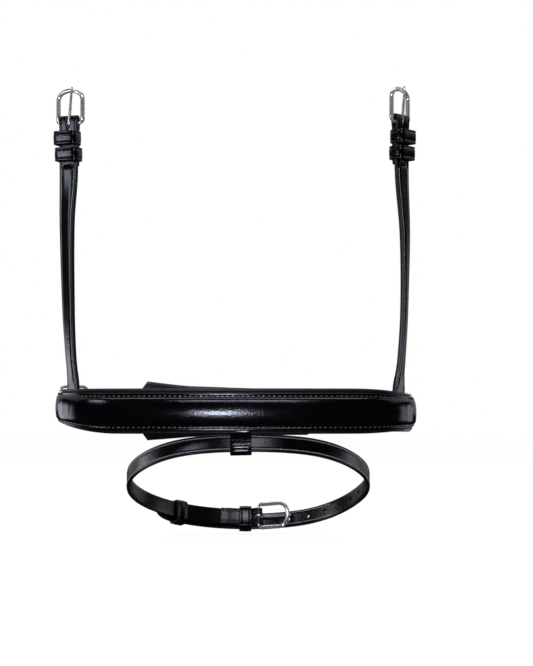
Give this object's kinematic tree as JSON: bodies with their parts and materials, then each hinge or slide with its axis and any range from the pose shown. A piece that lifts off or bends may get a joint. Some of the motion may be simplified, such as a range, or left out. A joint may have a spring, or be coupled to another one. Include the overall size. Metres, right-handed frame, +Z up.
{
  "type": "noseband",
  "caption": "Raised padded leather noseband of a riding bridle, with buckled cheek straps, metal rings, a padded jaw strap and a buckled flash strap below.",
  "frame": {"origin": "middle of the lining's inner face, where the nosepiece lies on the horse's nose, half way up the band", "axes": "+Z up along the cheek straps, -Y to the front of the nose, +X to the right seen from the front"},
  "size_m": [0.2752, 0.191, 0.3405],
  "materials": {
    "black_leather": "smooth black leather with a soft gloss",
    "black_lining": "soft matt black lining leather over padding",
    "felt_filler": "felt, hidden inside the raised nosepiece",
    "polished_steel": "polished"
  },
  "bodies": {
    "nosepiece": {"nose_facing": "black_leather", "nose_raise_filler": "felt_filler", "nose_backing": "black_leather", "nose_lining": "black_lining", "left_cheek_tab": "black_leather", "right_cheek_tab": "black_leather", "flash_loop_tab": "black_leather", "left_ring_chape": "black_leather", "right_ring_chape": "black_leather"},
    "left_cheek": {"left_cheek_strap": "black_leather", "left_fixed_keeper": "black_leather"},
    "left_buckle": {"left_buckle_frame": "polished_steel"},
    "left_prong": {"left_buckle_prong": "polished_steel"},
    "left_runner": {"left_runner": "black_leather"},
    "left_ring": {"left_ring": "polished_steel"},
    "right_cheek": {"right_cheek_strap": "black_leather", "right_fixed_keeper": "black_leather"},
    "right_buckle": {"right_buckle_frame": "polished_steel"},
    "right_prong": {"right_buckle_prong": "polished_steel"},
    "right_runner": {"right_runner": "black_leather"},
    "right_ring": {"right_ring": "polished_steel"},
    "jaw": {"jaw_strap": "black_leather", "jaw_buckle_chape": "black_leather", "jaw_buckle_frame": "polished_steel", "jaw_buckle_prong": "polished_steel", "jaw_fixed_keeper": "black_leather"},
    "jaw_pad": {"jaw_pad": "black_lining", "jaw_pad_facing": "black_leather", "jaw_pad_loop_left": "black_leather", "jaw_pad_loop_right": "black_leather"},
    "jaw_runner": {"jaw_runner": "black_leather"},
    "flash_loop": {"flash_loop": "black_leather"},
    "flash_strap": {"flash_strap": "black_leather", "flash_fixed_keeper": "black_leather"},
    "flash_buckle": {"flash_buckle_frame": "polished_steel"},
    "flash_prong": {"flash_buckle_prong": "polished_steel"},
    "flash_runner": {"flash_runner": "black_leather"}
  },
  "joints": [
    {"name": "left_cheek_swing", "type": "hinge", "parent": "nosepiece", "child": "left_cheek", "pos_m": [-0.12079, 0.02907, 0.0175], "axis": [0.5737, -0.8191, 0], "range_deg": [-20, 80], "stiffness_Nm_per_rad": 0.08},
    {"name": "left_buckle_tilt", "type": "hinge", "parent": "left_cheek", "child": "left_buckle", "pos_m": [-0.12371, 0.03028, 0.2143], "axis": [0.9298, -0.3681, 0], "range_deg": [-60, 30]},
    {"name": "left_prong_swing", "type": "hinge", "parent": "left_buckle", "child": "left_prong", "pos_m": [-0.12371, 0.03028, 0.2143], "axis": [0.9298, -0.3681, 0], "range_deg": [0, 75]},
    {"name": "left_runner_slide", "type": "slide", "parent": "left_cheek", "child": "left_runner", "axis": [0, 0, 1], "range_m": [-0.012, 0.0018]},
    {"name": "right_cheek_swing", "type": "hinge", "parent": "nosepiece", "child": "right_cheek", "pos_m": [0.12079, 0.02907, 0.01565], "axis": [0.5737, 0.8191, 0], "range_deg": [-20, 80], "stiffness_Nm_per_rad": 0.08},
    {"name": "right_buckle_tilt", "type": "hinge", "parent": "right_cheek", "child": "right_buckle", "pos_m": [0.12213, 0.02995, 0.21525], "axis": [0.673, 0.7396, 0], "range_deg": [-60, 30]},
    {"name": "right_prong_swing", "type": "hinge", "parent": "right_buckle", "child": "right_prong", "pos_m": [0.12213, 0.02995, 0.21525], "axis": [0.673, 0.7396, 0], "range_deg": [0, 75]},
    {"name": "right_runner_slide", "type": "slide", "parent": "right_cheek", "child": "right_runner", "axis": [0, 0, 1], "range_m": [-0.012, 0.0018]},
    {"name": "left_ring_swivel", "type": "hinge", "parent": "nosepiece", "child": "left_ring", "pos_m": [-0.134, 0.06797, 0.0056], "axis": [0, 0, 1], "range_deg": [-7, 7]},
    {"name": "right_ring_swivel", "type": "hinge", "parent": "nosepiece", "child": "right_ring", "pos_m": [0.134, 0.06797, 0.0007], "axis": [0, 0, 1], "range_deg": [-8, 8]},
    {"name": "jaw_swivel", "type": "hinge", "parent": "left_ring", "child": "jaw", "pos_m": [-0.11525, 0.08263, 0.0056], "axis": [0, 0, 1], "range_deg": [-9, 9]},
    {"name": "jaw_pad_slide", "type": "hinge", "parent": "jaw", "child": "jaw_pad", "pos_m": [-0.00394, 0.01504, 0], "axis": [0, 0, -1], "range_deg": [-2.57, 2.57]},
    {"name": "jaw_runner_slide", "type": "hinge", "parent": "jaw", "child": "jaw_runner", "pos_m": [-0.00394, 0.01504, 0], "axis": [0, 0, -1], "range_deg": [-1.72, 1.72]},
    {"name": "flash_loop_swing", "type": "hinge", "parent": "nosepiece", "child": "flash_loop", "pos_m": [0.0035, -0.004, -0.0163], "axis": [1, 0, 0], "range_deg": [-45, 18]},
    {"name": "flash_strap_turn", "type": "hinge", "parent": "flash_loop", "child": "flash_strap", "pos_m": [0.0094, 0.08272, -0.05461], "axis": [0, -0.3453, -0.9385], "range_deg": [-20, 20]},
    {"name": "flash_buckle_tilt", "type": "hinge", "parent": "flash_strap", "child": "flash_buckle", "pos_m": [0.0187, 0.1672, -0.0857], "axis": [0, 0.3453, 0.9385], "range_deg": [-35, 0]},
    {"name": "flash_prong_swing", "type": "hinge", "parent": "flash_buckle", "child": "flash_prong", "pos_m": [0.0187, 0.1672, -0.0857], "axis": [0, 0.3453, 0.9385], "range_deg": [0, 3]},
    {"name": "flash_runner_slide", "type": "hinge", "parent": "flash_strap", "child": "flash_runner", "pos_m": [0.0094, 0.08272, -0.05461], "axis": [0, -0.3453, -0.9385], "range_deg": [-4, 4]}
  ],
  "couplings": [
    {"joint": "right_ring_swivel", "follows": "left_ring_swivel", "ratio": 1.0257},
    {"joint": "jaw_swivel", "follows": "left_ring_swivel", "ratio": -1.1656}
  ]
}
